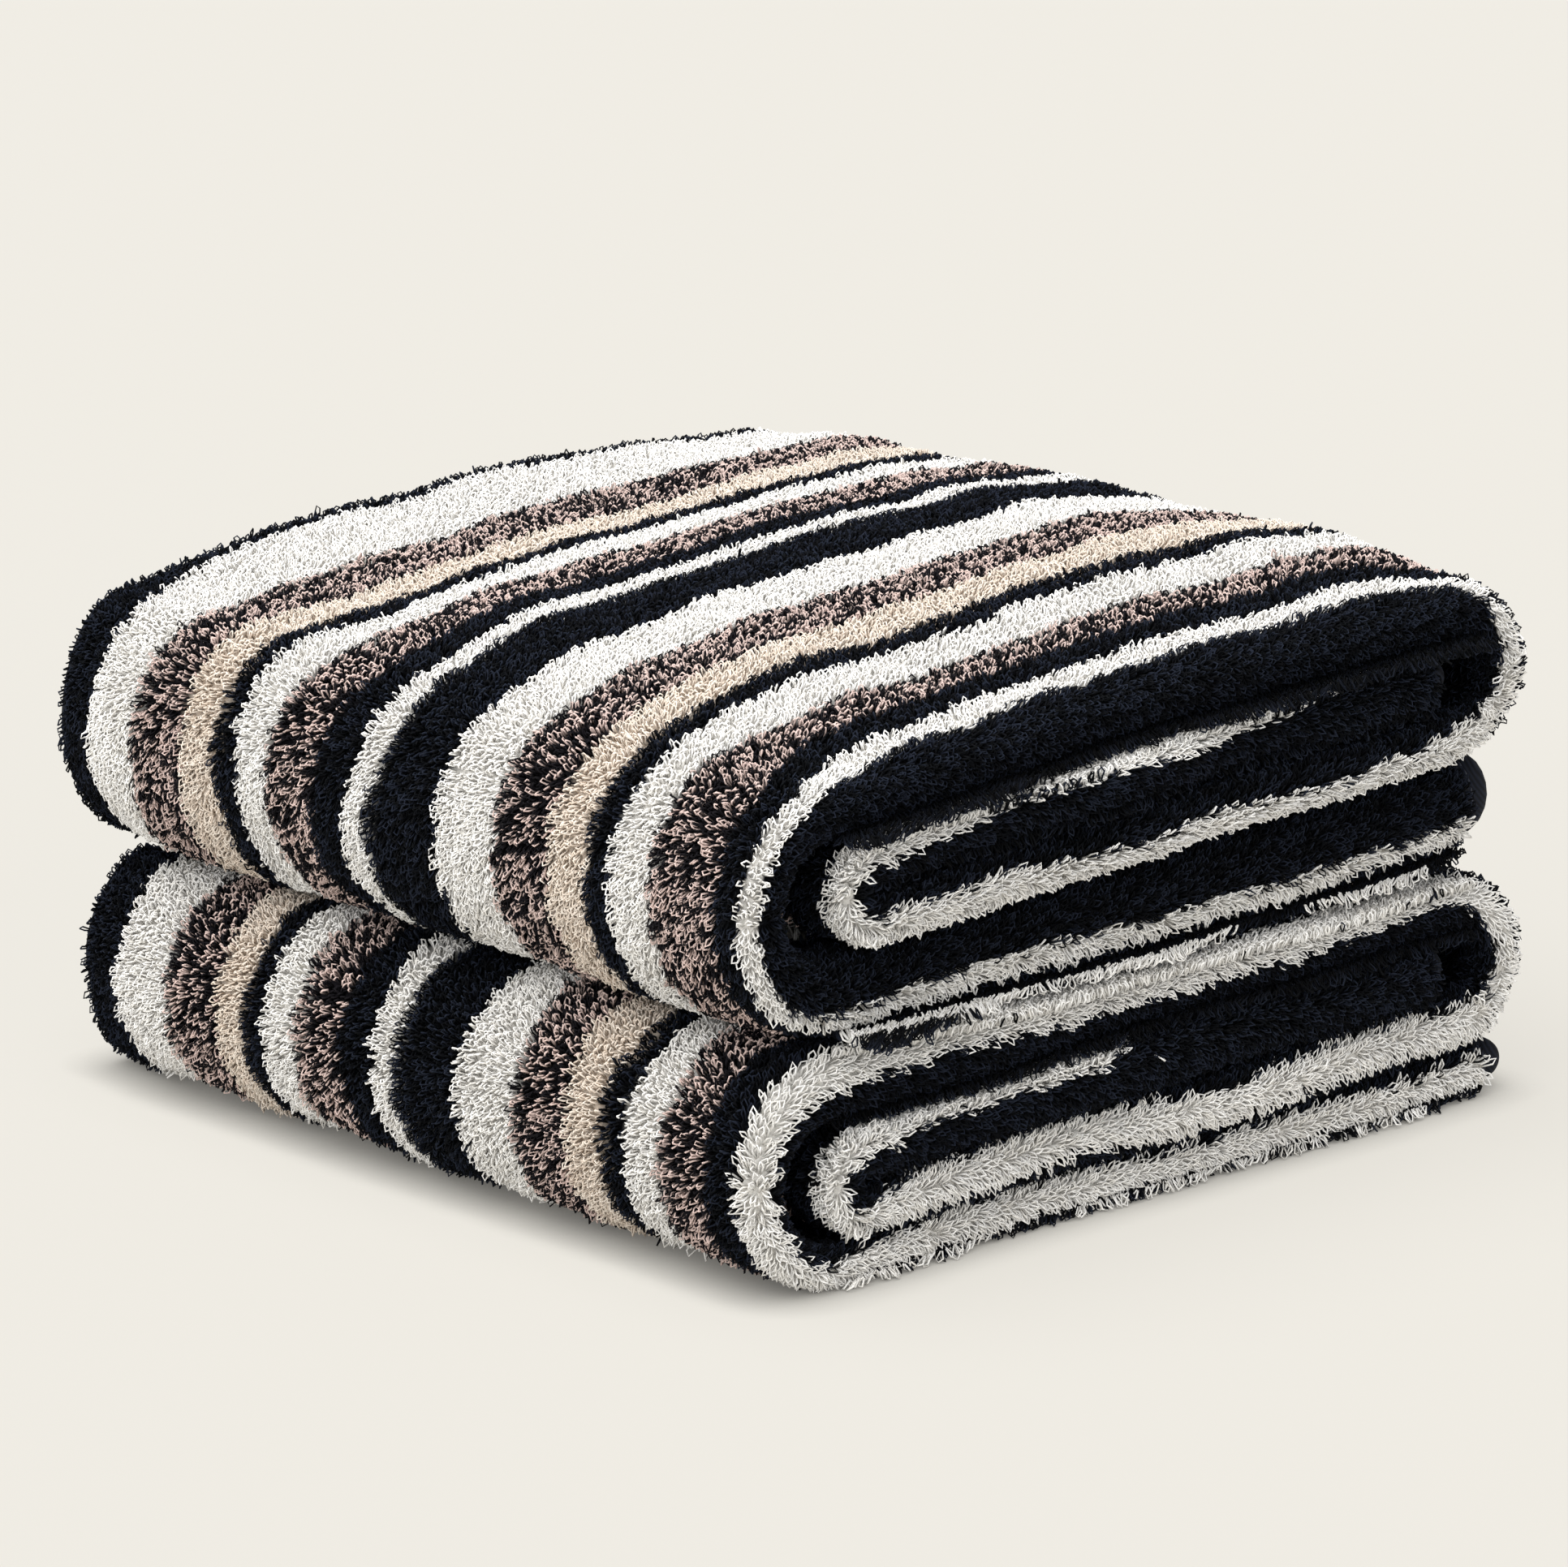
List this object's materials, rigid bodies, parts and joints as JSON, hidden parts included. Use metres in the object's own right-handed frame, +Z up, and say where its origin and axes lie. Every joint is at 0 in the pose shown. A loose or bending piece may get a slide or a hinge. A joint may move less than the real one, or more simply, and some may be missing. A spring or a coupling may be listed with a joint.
{
  "type": "folded striped terry towel stack",
  "caption": "Thick striped loop-pile towels, each doubled lengthwise and rolled flat into a square packet, lying one on the other; packets lift off and fold open at the front.",
  "frame": {"origin": "middle of the stack's footprint, on the surface it lies on", "axes": "+X across the stripes towards the doubled edge, +Y along the stripes towards the back fold, +Z up"},
  "size_m": [0.364, 0.3643, 0.186],
  "materials": {
    "terry_pile": "looped cotton pile, woven in white, navy, beige and navy-and-rose melange stripes",
    "woven_hem": "flat dense weave, navy",
    "sewing_thread": "lockstitched cotton thread, navy"
  },
  "bodies": {
    "lower_base": {"lower_bottom_panel": "terry_pile", "lower_bottom_panel_outer_side_hem": "woven_hem", "lower_bottom_panel_inner_side_hem": "woven_hem", "lower_front_fold_bottom": "terry_pile", "lower_front_fold_bottom_outer_side_hem": "woven_hem", "lower_front_fold_bottom_inner_side_hem": "woven_hem", "lower_bottom_end_hem": "woven_hem", "lower_bottom_end_hem_stitching": "sewing_thread"},
    "lower_flap": {"lower_front_fold_top": "terry_pile", "lower_front_fold_top_outer_side_hem": "woven_hem", "lower_front_fold_top_inner_side_hem": "woven_hem", "lower_top_panel": "terry_pile", "lower_top_panel_outer_side_hem": "woven_hem", "lower_top_panel_inner_side_hem": "woven_hem", "lower_back_fold": "terry_pile", "lower_back_fold_outer_side_hem": "woven_hem", "lower_back_fold_inner_side_hem": "woven_hem", "lower_lining_panel": "terry_pile", "lower_lining_panel_outer_side_hem": "woven_hem", "lower_lining_panel_inner_side_hem": "woven_hem", "lower_inner_fold": "terry_pile", "lower_inner_fold_outer_side_hem": "woven_hem", "lower_inner_fold_inner_side_hem": "woven_hem", "lower_core_panel": "terry_pile", "lower_core_panel_outer_side_hem": "woven_hem", "lower_core_panel_inner_side_hem": "woven_hem", "lower_core_end_hem": "woven_hem", "lower_core_end_hem_stitching": "sewing_thread"},
    "upper_base": {"upper_bottom_panel": "terry_pile", "upper_bottom_panel_outer_side_hem": "woven_hem", "upper_bottom_panel_inner_side_hem": "woven_hem", "upper_front_fold_bottom": "terry_pile", "upper_front_fold_bottom_outer_side_hem": "woven_hem", "upper_front_fold_bottom_inner_side_hem": "woven_hem", "upper_bottom_end_hem": "woven_hem", "upper_bottom_end_hem_stitching": "sewing_thread"},
    "upper_flap": {"upper_front_fold_top": "terry_pile", "upper_front_fold_top_outer_side_hem": "woven_hem", "upper_front_fold_top_inner_side_hem": "woven_hem", "upper_top_panel": "terry_pile", "upper_top_panel_outer_side_hem": "woven_hem", "upper_top_panel_inner_side_hem": "woven_hem", "upper_back_fold": "terry_pile", "upper_back_fold_outer_side_hem": "woven_hem", "upper_back_fold_inner_side_hem": "woven_hem", "upper_lining_panel": "terry_pile", "upper_lining_panel_outer_side_hem": "woven_hem", "upper_lining_panel_inner_side_hem": "woven_hem", "upper_inner_fold": "terry_pile", "upper_inner_fold_outer_side_hem": "woven_hem", "upper_inner_fold_inner_side_hem": "woven_hem", "upper_core_panel": "terry_pile", "upper_core_panel_outer_side_hem": "woven_hem", "upper_core_panel_inner_side_hem": "woven_hem", "upper_core_end_hem": "woven_hem", "upper_core_end_hem_stitching": "sewing_thread"}
  },
  "joints": [
    {"name": "lower_front_fold", "type": "hinge", "parent": "lower_base", "child": "lower_flap", "pos_m": [0, -0.186, 0.0394], "axis": [1, 0, 0], "range_deg": [0, 10]},
    {"name": "upper_lift", "type": "slide", "parent": "lower_flap", "child": "upper_base", "axis": [0, 0, 1], "range_m": [0, 0.25]},
    {"name": "upper_front_fold", "type": "hinge", "parent": "upper_base", "child": "upper_flap", "pos_m": [0, -0.188, 0.123], "axis": [1, 0, 0], "range_deg": [0, 180]}
  ]
}
